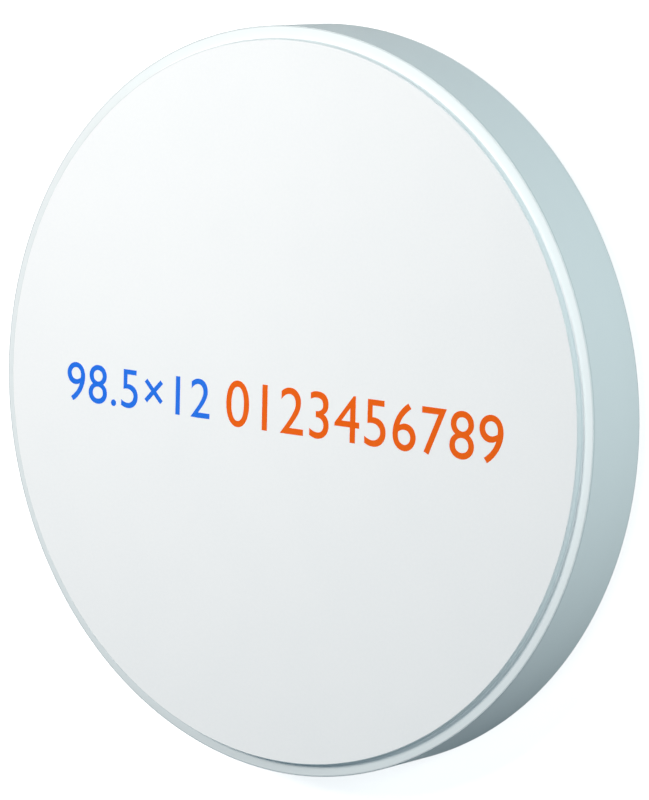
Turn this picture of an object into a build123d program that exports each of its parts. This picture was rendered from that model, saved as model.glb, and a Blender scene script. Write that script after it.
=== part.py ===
from build123d import *

import os

# A dental milling disc: the round blank of pre-sintered zirconia that a dental mill cuts
# crowns and bridges from. It is pressed as one block and turned to size, so it is one solid.
# A collar runs round its edge for the clamp of the mill's holder, and a low boss stands
# above the collar on each face.
# The disc lies on its rear face: the origin is the centre of that face, and +Z is its axis.

# Driving dimensions, in millimetres
collar_diameter = 98.5
collar_height = 10.0
boss_diameter = 95.0
boss_height = 1.0
step_root_radius = 0.4
edge_break = 0.12

# Sizes that follow from them
collar_radius = collar_diameter / 2
boss_radius = boss_diameter / 2
rear_land_z = boss_height
front_land_z = rear_land_z + collar_height
front_face_z = front_land_z + boss_height


def turned_section():
    """Half of the disc's section, from its axis out to the collar, with X as the radius."""
    from_corner = (Align.MIN, Align.MIN)
    with BuildSketch(Plane.XZ) as section:
        Rectangle(boss_radius, front_face_z, align=from_corner)
        with Locations((0, rear_land_z)):
            Rectangle(collar_radius, collar_height, align=from_corner)
        # The turning tool's nose leaves a small radius where a boss rises from its land.
        boss_corners = section.vertices().group_by(Axis.X)[1].sort_by(Axis.Y)
        fillet(boss_corners[1:-1], radius=step_root_radius)
        # The rims of both bosses and of the collar are broken, so that they do not chip.
        on_faces = section.vertices().group_by(Axis.Y)
        boss_rims = [on_faces[0].sort_by(Axis.X)[-1], on_faces[-1].sort_by(Axis.X)[-1]]
        collar_rims = section.vertices().group_by(Axis.X)[-1]
        chamfer(boss_rims + collar_rims, length=edge_break)
    return section.sketch


def milling_disc():
    """The whole blank, turned about its axis."""
    return revolve(turned_section(), axis=Axis.Z)


os.makedirs("parts", exist_ok=True)
export_step(milling_disc(), "parts/milling_disc.step")
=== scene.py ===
import math

import bmesh
import bpy
from mathutils import Matrix, Vector


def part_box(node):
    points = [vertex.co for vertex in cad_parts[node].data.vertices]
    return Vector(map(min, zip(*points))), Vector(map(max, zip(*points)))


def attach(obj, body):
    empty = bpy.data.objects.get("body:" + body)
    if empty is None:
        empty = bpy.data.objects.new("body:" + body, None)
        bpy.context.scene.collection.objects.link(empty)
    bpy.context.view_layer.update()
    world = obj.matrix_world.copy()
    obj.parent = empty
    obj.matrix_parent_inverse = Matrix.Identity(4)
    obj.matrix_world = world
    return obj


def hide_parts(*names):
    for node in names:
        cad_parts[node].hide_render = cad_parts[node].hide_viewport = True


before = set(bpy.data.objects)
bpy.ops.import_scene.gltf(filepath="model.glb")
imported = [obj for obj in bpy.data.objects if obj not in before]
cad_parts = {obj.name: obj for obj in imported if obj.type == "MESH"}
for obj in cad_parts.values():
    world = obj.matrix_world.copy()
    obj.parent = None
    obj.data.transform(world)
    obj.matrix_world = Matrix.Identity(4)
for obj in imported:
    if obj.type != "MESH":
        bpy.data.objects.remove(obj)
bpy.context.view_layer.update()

# The camera stands over the disc's -Y side and is rolled on its side, so that +X is up in
# the picture and the near rim of the collar shows on the right. It has a long lens.
camera_place = Vector((0.0, -0.3413, 0.4205))
camera_forward = Vector((-0.0006, 0.6326, -0.7744))
camera_up = Vector((0.9888, -0.1154, -0.0950))
camera_lens_mm = 183.6
camera_sensor_mm = 36.0
camera_right = camera_forward.cross(camera_up)
camera_turn = Matrix((camera_right, camera_up, -camera_forward)).transposed().to_4x4()

camera_data = bpy.data.cameras.new("photo_camera")
camera_data.sensor_width = camera_sensor_mm
camera_data.lens = camera_lens_mm
camera = bpy.data.objects.new("photo_camera", camera_data)
camera.matrix_world = Matrix.Translation(camera_place) @ camera_turn
bpy.context.collection.objects.link(camera)
bpy.context.scene.camera = camera
bpy.context.scene.view_settings.view_transform = "Standard"


# The milling disc is one block of zirconia powder, pressed, baked to the hardness of chalk
# and then turned on a lathe: a collar for the clamp of the mill, with a low boss on each
# face. The turning tool leaves a small radius in each step, and the rims are broken.
collar_diameter = 0.0985
collar_height = 0.0100
boss_diameter = 0.0950
boss_height = 0.0010
root_radius = 0.0004
edge_break = 0.00012
steps_round = 360
steps_in_corner = 5
same_point = 0.000001


def feed(tree, source, socket):
    """Link another node's output to an input, or set the input to a plain value."""
    if isinstance(source, bpy.types.NodeSocket):
        tree.links.new(source, socket)
    else:
        socket.default_value = source


def add_node(tree, kind, feeds=None, **settings):
    """A new node with its settings made and its inputs fed, each by name or number."""
    node = tree.nodes.new(kind)
    for name, value in settings.items():
        setattr(node, name, value)
    for name, source in (feeds or {}).items():
        feed(tree, source, node.inputs[name])
    return node


def calculate(tree, operation, first, second=None):
    """One step of arithmetic on outputs or numbers; gives its result as an output."""
    terms = {0: first} if second is None else {0: first, 1: second}
    return add_node(tree, "ShaderNodeMath", terms, operation=operation).outputs["Value"]


lathe = bpy.data.node_groups.new("turned_disc", "GeometryNodeTree")
lathe_inputs = {
    "Collar diameter": ("NodeSocketFloat", collar_diameter),
    "Collar height": ("NodeSocketFloat", collar_height),
    "Boss diameter": ("NodeSocketFloat", boss_diameter),
    "Boss height": ("NodeSocketFloat", boss_height),
    "Root radius": ("NodeSocketFloat", root_radius),
    "Edge break": ("NodeSocketFloat", edge_break),
    "Steps round": ("NodeSocketInt", steps_round),
    "Steps in corner": ("NodeSocketInt", steps_in_corner),
    "Finish": ("NodeSocketMaterial", None),
}
lathe.interface.new_socket("Geometry", in_out="INPUT", socket_type="NodeSocketGeometry")
for name, (kind, _) in lathe_inputs.items():
    lathe.interface.new_socket(name, in_out="INPUT", socket_type=kind)
lathe.interface.new_socket("Geometry", in_out="OUTPUT", socket_type="NodeSocketGeometry")
sizes = add_node(lathe, "NodeGroupInput").outputs

# The corners of the half section, from the axis at the rear face to the axis at the front
boss_edge = calculate(lathe, "DIVIDE", sizes["Boss diameter"], 2.0)
collar_edge = calculate(lathe, "DIVIDE", sizes["Collar diameter"], 2.0)
rear_land = sizes["Boss height"]
front_land = calculate(lathe, "ADD", rear_land, sizes["Collar height"])
front_face = calculate(lathe, "ADD", front_land, sizes["Boss height"])
corners = (
    # out from the axis, height, radius
    (0.0, 0.0, 0.0),
    (boss_edge, 0.0, sizes["Edge break"]),
    (boss_edge, rear_land, sizes["Root radius"]),
    (collar_edge, rear_land, sizes["Edge break"]),
    (collar_edge, front_land, sizes["Edge break"]),
    (boss_edge, front_land, sizes["Root radius"]),
    (boss_edge, front_face, sizes["Edge break"]),
    (0.0, front_face, 0.0),
)
corner_number = add_node(lathe, "GeometryNodeInputIndex").outputs["Index"]
corner_place = add_node(lathe, "GeometryNodeIndexSwitch", data_type="VECTOR")
corner_radius = add_node(lathe, "GeometryNodeIndexSwitch", data_type="FLOAT")
for switch in (corner_place, corner_radius):
    while len(switch.index_switch_items) < len(corners):
        switch.index_switch_items.new()
    feed(lathe, corner_number, switch.inputs["Index"])
for number, (out, height, radius) in enumerate(corners):
    point = add_node(lathe, "ShaderNodeCombineXYZ", {"X": out, "Z": height})
    feed(lathe, point.outputs["Vector"], corner_place.inputs[str(number)])
    feed(lathe, radius, corner_radius.inputs[str(number)])

section_line = add_node(lathe, "GeometryNodeMeshLine", {"Count": len(corners)})
section_curve = add_node(
    lathe, "GeometryNodeMeshToCurve", {"Mesh": section_line.outputs["Mesh"]}
)
section_placed = add_node(
    lathe,
    "GeometryNodeSetPosition",
    {
        "Geometry": section_curve.outputs["Curve"],
        "Position": corner_place.outputs["Output"],
    },
)
section = add_node(
    lathe,
    "GeometryNodeFilletCurve",
    {
        "Curve": section_placed.outputs["Geometry"],
        "Radius": corner_radius.outputs["Output"],
        "Count": sizes["Steps in corner"],
    },
    mode="POLY",
).outputs["Curve"]
section_size = add_node(
    lathe, "GeometryNodeAttributeDomainSize", {"Geometry": section}, component="CURVE"
)

# The section is turned about the axis: a sheet with a column for each angle, whose seam
# and two poles are then closed
columns = calculate(lathe, "ADD", sizes["Steps round"], 1.0)
sheet = add_node(
    lathe,
    "GeometryNodeMeshGrid",
    {"Vertices X": section_size.outputs["Point Count"], "Vertices Y": columns},
)
vertex_number = add_node(lathe, "GeometryNodeInputIndex").outputs["Index"]
row = calculate(lathe, "FLOOR", calculate(lathe, "DIVIDE", vertex_number, columns))
column = calculate(lathe, "MODULO", vertex_number, columns)
part_of_turn = calculate(lathe, "DIVIDE", column, sizes["Steps round"])
angle = calculate(lathe, "MULTIPLY", part_of_turn, math.tau)

section_point = add_node(lathe, "GeometryNodeInputPosition").outputs["Position"]
read_section = add_node(
    lathe,
    "GeometryNodeSampleIndex",
    {"Geometry": section, "Value": section_point, "Index": row},
    data_type="FLOAT_VECTOR",
    domain="POINT",
)
section_xyz = add_node(
    lathe, "ShaderNodeSeparateXYZ", {"Vector": read_section.outputs["Value"]}
).outputs
turned_xyz = add_node(
    lathe,
    "ShaderNodeCombineXYZ",
    {
        "X": calculate(lathe, "MULTIPLY", section_xyz["X"], calculate(lathe, "COSINE", angle)),
        "Y": calculate(lathe, "MULTIPLY", section_xyz["X"], calculate(lathe, "SINE", angle)),
        "Z": section_xyz["Z"],
    },
)
turned = add_node(
    lathe,
    "GeometryNodeSetPosition",
    {"Geometry": sheet.outputs["Mesh"], "Position": turned_xyz.outputs["Vector"]},
)

# Round the axis it shades smooth; each edge that runs round stays crisp
edge_ends = add_node(lathe, "GeometryNodeInputMeshEdgeVertices").outputs
end_rows = [
    calculate(lathe, "FLOOR", calculate(lathe, "DIVIDE", edge_ends[end], columns))
    for end in ("Vertex Index 1", "Vertex Index 2")
]
smooth = add_node(
    lathe,
    "GeometryNodeSetShadeSmooth",
    {"Geometry": turned.outputs["Geometry"]},
    domain="FACE",
)
crisp = add_node(
    lathe,
    "GeometryNodeSetShadeSmooth",
    {
        "Geometry": smooth.outputs["Geometry"],
        "Selection": calculate(lathe, "COMPARE", *end_rows),
        "Shade Smooth": False,
    },
    domain="EDGE",
)
closed = add_node(
    lathe,
    "GeometryNodeMergeByDistance",
    {"Geometry": crisp.outputs["Geometry"], "Distance": same_point},
)
made_real = add_node(
    lathe, "GeometryNodeRealizeInstances", {"Geometry": closed.outputs["Geometry"]}
)
finished = add_node(
    lathe,
    "GeometryNodeSetMaterial",
    {"Geometry": made_real.outputs["Geometry"], "Material": sizes["Finish"]},
)
add_node(lathe, "NodeGroupOutput", {"Geometry": finished.outputs["Geometry"]})

# Pressed grain: the fine, dry grain of the pressed powder, which also shows through the
# ink. It gives a colour between two, a roughness and a height.
clean_white = (0.930, 0.935, 0.935, 1.0)
fleck_white = (0.905, 0.915, 0.918, 1.0)
grains_per_metre = 2500.0
grain_detail = 3.0
grain_sharpness = 0.6
clouds_per_metre = 90.0
cloud_detail = 2.0
grain_share = 0.6
fleck_begins = 0.40
fleck_full = 0.72
least_rough = 0.62
most_rough = 0.86


def blend(tree, factor, first, second):
    """A colour that goes from the first to the second as the factor goes from 0 to 1."""
    parts = {"Factor": factor, "A": first, "B": second}
    return add_node(tree, "ShaderNodeMix", parts, data_type="RGBA").outputs["Result"]


pressed_grain = bpy.data.node_groups.new("pressed_grain", "ShaderNodeTree")
for name, kind, value in (
    ("Colour", "NodeSocketColor", clean_white),
    ("Fleck", "NodeSocketColor", fleck_white),
    ("Grains per metre", "NodeSocketFloat", grains_per_metre),
):
    socket = pressed_grain.interface.new_socket(name, in_out="INPUT", socket_type=kind)
    socket.default_value = value
for name, kind in (
    ("Colour", "NodeSocketColor"),
    ("Roughness", "NodeSocketFloat"),
    ("Height", "NodeSocketFloat"),
):
    pressed_grain.interface.new_socket(name, in_out="OUTPUT", socket_type=kind)
grain_in = add_node(pressed_grain, "NodeGroupInput").outputs
grain_place = add_node(pressed_grain, "ShaderNodeTexCoord").outputs["Object"]
grain_noise = add_node(
    pressed_grain,
    "ShaderNodeTexNoise",
    {
        "Vector": grain_place,
        "Scale": grain_in["Grains per metre"],
        "Detail": grain_detail,
        "Roughness": grain_sharpness,
    },
).outputs["Fac"]
cloud_noise = add_node(
    pressed_grain,
    "ShaderNodeTexNoise",
    {"Vector": grain_place, "Scale": clouds_per_metre, "Detail": cloud_detail},
).outputs["Fac"]
grain_part = calculate(pressed_grain, "MULTIPLY", grain_noise, grain_share)
cloud_part = calculate(pressed_grain, "MULTIPLY", cloud_noise, 1.0 - grain_share)
fleck_mask = add_node(
    pressed_grain,
    "ShaderNodeMapRange",
    {
        "Value": calculate(pressed_grain, "ADD", grain_part, cloud_part),
        "From Min": fleck_begins,
        "From Max": fleck_full,
    },
).outputs["Result"]
grain_rough = add_node(
    pressed_grain,
    "ShaderNodeMapRange",
    {"Value": grain_noise, "To Min": least_rough, "To Max": most_rough},
).outputs["Result"]
add_node(
    pressed_grain,
    "NodeGroupOutput",
    {
        "Colour": blend(pressed_grain, fleck_mask, grain_in["Colour"], grain_in["Fleck"]),
        "Roughness": grain_rough,
        "Height": grain_noise,
    },
)

# The zirconia is dry and matt. The wall of the boss and the collar's broken rims are painted
# grey, as painted shade. The collar is painted a cooler, darker colour than the boss, also as
# painted shade, and its clamping lands shade as if they leaned outwards.
grain_strength = 0.35
grain_depth = 0.00003
zirconia_ior = 1.5
zirconia_shine = 0.25
collar_painted_shade = (0.876, 0.925, 0.930, 1.0)
land_lean = math.radians(13.0)
painted_shade_grey = (0.700, 0.750, 0.760, 1.0)
shaded_rim_band = 1.8 * edge_break
flat_on_disc = (1.0, 1.0, 0.0)
metre = 1.0


def grained_material(name, shine):
    """A material with the grain in its roughness and relief: its nodes, shader and grain."""
    material = bpy.data.materials.new(name)
    material.use_nodes = True
    tree = material.node_tree
    shader = tree.nodes["Principled BSDF"]
    grain = add_node(tree, "ShaderNodeGroup", node_tree=pressed_grain)
    relief = add_node(
        tree,
        "ShaderNodeBump",
        {
            "Height": grain.outputs["Height"],
            "Strength": grain_strength,
            "Distance": grain_depth,
        },
    )
    feed(tree, shine, shader.inputs["Specular IOR Level"])
    feed(tree, grain.outputs["Roughness"], shader.inputs["Roughness"])
    feed(tree, relief.outputs["Normal"], shader.inputs["Normal"])
    return material, shader, grain, relief


zirconia, zirconia_shader, zirconia_grain, zirconia_relief = grained_material(
    "zirconia_pressed", zirconia_shine
)
zirconia_nodes = zirconia.node_tree
feed(zirconia_nodes, zirconia_ior, zirconia_shader.inputs["IOR"])
place = add_node(zirconia_nodes, "ShaderNodeTexCoord").outputs["Object"]
place_xyz = add_node(zirconia_nodes, "ShaderNodeSeparateXYZ", {"Vector": place}).outputs
across = add_node(
    zirconia_nodes,
    "ShaderNodeVectorMath",
    {0: place, 1: flat_on_disc},
    operation="MULTIPLY",
)
off_axis = add_node(
    zirconia_nodes,
    "ShaderNodeVectorMath",
    {0: across.outputs["Vector"]},
    operation="LENGTH",
).outputs["Value"]

# The wall of the boss is a narrow band of distances from the axis. A broken rim of the
# collar is where that distance and the height off the middle plane add up to the most.
face_end = boss_diameter / 2 - edge_break
wall_end = boss_diameter / 2 + edge_break
land_start = boss_diameter / 2 + root_radius
middle_plane = boss_height + collar_height / 2
rim_start = collar_diameter / 2 + collar_height / 2 - shaded_rim_band
past_face = calculate(zirconia_nodes, "GREATER_THAN", off_axis, face_end)
past_wall = calculate(zirconia_nodes, "GREATER_THAN", off_axis, wall_end)
on_wall = calculate(zirconia_nodes, "SUBTRACT", past_face, past_wall)
on_land = calculate(zirconia_nodes, "GREATER_THAN", off_axis, land_start)
above_middle = calculate(zirconia_nodes, "SUBTRACT", place_xyz["Z"], middle_plane)
off_middle = calculate(zirconia_nodes, "ABSOLUTE", above_middle)
rim_reach = calculate(zirconia_nodes, "ADD", off_axis, off_middle)
on_rim = calculate(zirconia_nodes, "GREATER_THAN", rim_reach, rim_start)
# Painted shade: the wall of the boss and the collar's broken rims are painted grey.
painted_shade_mask = calculate(zirconia_nodes, "MAXIMUM", on_wall, on_rim)
# Painted shade: the collar outside the boss is painted a cooler, darker colour than the face.
shaded_collar_colour = blend(zirconia_nodes, on_land, zirconia_grain.outputs["Colour"], collar_painted_shade)
zirconia_colour = blend(zirconia_nodes, painted_shade_mask, shaded_collar_colour, painted_shade_grey)
feed(zirconia_nodes, zirconia_colour, zirconia_shader.inputs["Base Color"])

past_land_start = calculate(zirconia_nodes, "SUBTRACT", off_axis, land_start)
over_land = calculate(zirconia_nodes, "MAXIMUM", past_land_start, 0.0)
land_fall = calculate(zirconia_nodes, "MULTIPLY", over_land, -math.tan(land_lean))
land_relief = add_node(
    zirconia_nodes, "ShaderNodeBump", {"Height": land_fall, "Distance": metre}
)
feed(zirconia_nodes, land_relief.outputs["Normal"], zirconia_relief.inputs["Normal"])

blank = bpy.data.objects.new("blank_on_lathe", bpy.data.meshes.new("blank_on_lathe"))
bpy.context.collection.objects.link(blank)
turning = blank.modifiers.new("turning", "NODES")
turning.node_group = lathe
for socket in lathe.interface.items_tree:
    if socket.in_out == "INPUT" and socket.name in lathe_inputs:
        value = lathe_inputs[socket.name][1]
        turning[socket.identifier] = zirconia if value is None else value
depsgraph = bpy.context.evaluated_depsgraph_get()
disc_mesh = bpy.data.meshes.new_from_object(blank.evaluated_get(depsgraph), depsgraph=depsgraph)
bpy.data.objects.remove(blank)
disc_mesh.name = "turned_milling_disc"
disc = bpy.data.objects.new("turned_milling_disc", disc_mesh)
bpy.context.collection.objects.link(disc)
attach(disc, "root")
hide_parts("milling_disc")


# The size figures give the blank's width and thickness in millimetres, and ten digits
# stand where a batch number would. They are pad printed on the front face in two inks, as
# a film about as thick as a coat of paint, and the grain of the face shows through them.
ink_shine = 0.1
ink_film = 0.00002
ink_sunk = 0.00001
figure_spread = 1.04
figure_smoothness = 8
stencil_depth = 0.5
line_rise = -0.0007
reading_angle = math.radians(-102.8)
reading_way = Vector((math.cos(reading_angle), math.sin(reading_angle), 0.0))
rising_way = Vector((0.0, 0.0, 1.0)).cross(reading_way)
front_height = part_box("milling_disc")[1][2]
film_foot = front_height - ink_sunk


def print_figures(name, figures, figure_height, middle, ink_colour, thin_colour):
    """Print figures on the line, with their middle so far along it from the disc's axis."""
    ink, ink_shader, ink_grain, _ = grained_material(name + "_ink", ink_shine)
    ink_grain.inputs["Colour"].default_value = ink_colour
    ink_grain.inputs["Fleck"].default_value = thin_colour
    feed(ink.node_tree, ink_grain.outputs["Colour"], ink_shader.inputs["Base Color"])

    outline = bpy.data.curves.new(name + "_outline", "FONT")
    outline.body = figures
    outline.space_character = figure_spread
    outline.resolution_u = figure_smoothness
    outline.extrude = stencil_depth
    stencil = bpy.data.objects.new(name + "_outline", outline)
    bpy.context.collection.objects.link(stencil)
    depsgraph = bpy.context.evaluated_depsgraph_get()
    film = bpy.data.meshes.new_from_object(stencil.evaluated_get(depsgraph), depsgraph=depsgraph)
    bpy.data.objects.remove(stencil)
    film.name = name + "_figures"

    # The outline's mesh is scaled, laid along the line and pressed flat to the film
    lowest = [min(v.co[axis] for v in film.vertices) for axis in range(3)]
    highest = [max(v.co[axis] for v in film.vertices) for axis in range(3)]
    growth = figure_height / (highest[1] - lowest[1])
    for vertex in film.vertices:
        read = (vertex.co.x - (lowest[0] + highest[0]) / 2) * growth
        rise = (vertex.co.y - (lowest[1] + highest[1]) / 2) * growth
        depth = (vertex.co.z - lowest[2]) / (highest[2] - lowest[2])
        vertex.co = reading_way * (middle + read) + rising_way * (line_rise + rise)
        vertex.co.z = film_foot + depth * (ink_film + ink_sunk)
    joined = bmesh.new()
    joined.from_mesh(film)
    bmesh.ops.remove_doubles(joined, verts=joined.verts, dist=same_point)
    joined.to_mesh(film)
    joined.free()

    film.materials.clear()
    film.materials.append(ink)
    figure_piece = bpy.data.objects.new(name + "_figures", film)
    bpy.context.collection.objects.link(figure_piece)
    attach(figure_piece, "root")


print_figures(
    "size",
    "98.5\u00d712",
    figure_height=0.0053,
    middle=-0.0246,
    ink_colour=(0.012, 0.160, 0.800, 1.0),
    thin_colour=(0.030, 0.200, 0.820, 1.0),
)
print_figures(
    "batch",
    "0123456789",
    figure_height=0.0062,
    middle=0.0136,
    ink_colour=(0.880, 0.118, 0.002, 1.0),
    thin_colour=(0.890, 0.150, 0.012, 1.0),
)


# The floor is a wide pale sheet under the disc. It looks white and keeps the disc's soft
# shadow, but throws little light back, so the rim of the disc keeps its own shade.
floor_reach = 3.0
floor_glow = 0.80
floor_looks = (0.80, 0.80, 0.80, 1.0)
floor_throws = (0.10, 0.13, 0.14, 1.0)
white = (1.0, 1.0, 1.0, 1.0)


def seen_by_eye(tree):
    """1 for what is seen straight, mirrored or through glass, 0 for the light it throws."""
    rays = add_node(tree, "ShaderNodeLightPath").outputs
    seen = calculate(tree, "MAXIMUM", rays["Is Camera Ray"], rays["Is Glossy Ray"])
    return calculate(tree, "MAXIMUM", seen, rays["Is Transmission Ray"])


floor_corners = [
    (x * floor_reach, y * floor_reach, 0.0) for x, y in ((-1, -1), (1, -1), (1, 1), (-1, 1))
]
floor_mesh = bpy.data.meshes.new("studio_floor")
floor_mesh.from_pydata(floor_corners, [], [(0, 1, 2, 3)])
floor_paint = bpy.data.materials.new("studio_floor")
floor_paint.use_nodes = True
floor_nodes = floor_paint.node_tree
floor_seen = seen_by_eye(floor_nodes)
floor_shader = floor_nodes.nodes["Principled BSDF"]
for name, source in (
    ("Base Color", blend(floor_nodes, floor_seen, floor_throws, floor_looks)),
    ("Roughness", 1.0),
    ("Specular IOR Level", 0.0),
    ("Emission Color", white),
    ("Emission Strength", calculate(floor_nodes, "MULTIPLY", floor_seen, floor_glow)),
):
    feed(floor_nodes, source, floor_shader.inputs[name])
floor_mesh.materials.append(floor_paint)
floor = bpy.data.objects.new("studio_floor", floor_mesh)
bpy.context.collection.objects.link(floor)


# The studio: a cool, dim surround that looks white behind the disc, a small key lamp over
# the disc's +X half, a large low fill lamp on the -Y side that lights the near rim, and a
# low back lamp on the far side, towards -X, for the rims and the land there.
surround_throws = (0.006, 0.045, 0.080, 1.0)
lamps = (
    # name, place, size across, watts, colour
    ("key_lamp", Vector((0.120, 0.047, 0.288)), 0.12, 0.750, (1.050, 1.0, 0.960)),
    ("fill_lamp", Vector((0.252, -1.427, 0.388)), 0.50, 14.0, (0.900, 1.0, 1.000)),
    ("back_lamp", Vector((-0.538, 0.932, 0.130)), 0.40, 3.25, (0.78, 1.0, 1.03)),
)

studio = bpy.data.worlds.new("studio")
bpy.context.scene.world = studio
studio.use_nodes = True
surround_seen = seen_by_eye(studio.node_tree)
surround_colour = blend(studio.node_tree, surround_seen, surround_throws, white)
surround = studio.node_tree.nodes["Background"]
feed(studio.node_tree, surround_colour, surround.inputs["Color"])

for name, lamp_place, size_across, watts, colour in lamps:
    lamp_data = bpy.data.lights.new(name, "AREA")
    lamp_data.shape = "DISK"
    lamp_data.size = size_across
    lamp_data.energy = watts
    lamp_data.color = colour
    lamp = bpy.data.objects.new(name, lamp_data)
    lamp.location = lamp_place
    lamp.rotation_mode = "QUATERNION"
    lamp.rotation_quaternion = (-lamp_place).to_track_quat("-Z", "Y")
    lamp.visible_camera = False
    bpy.context.collection.objects.link(lamp)
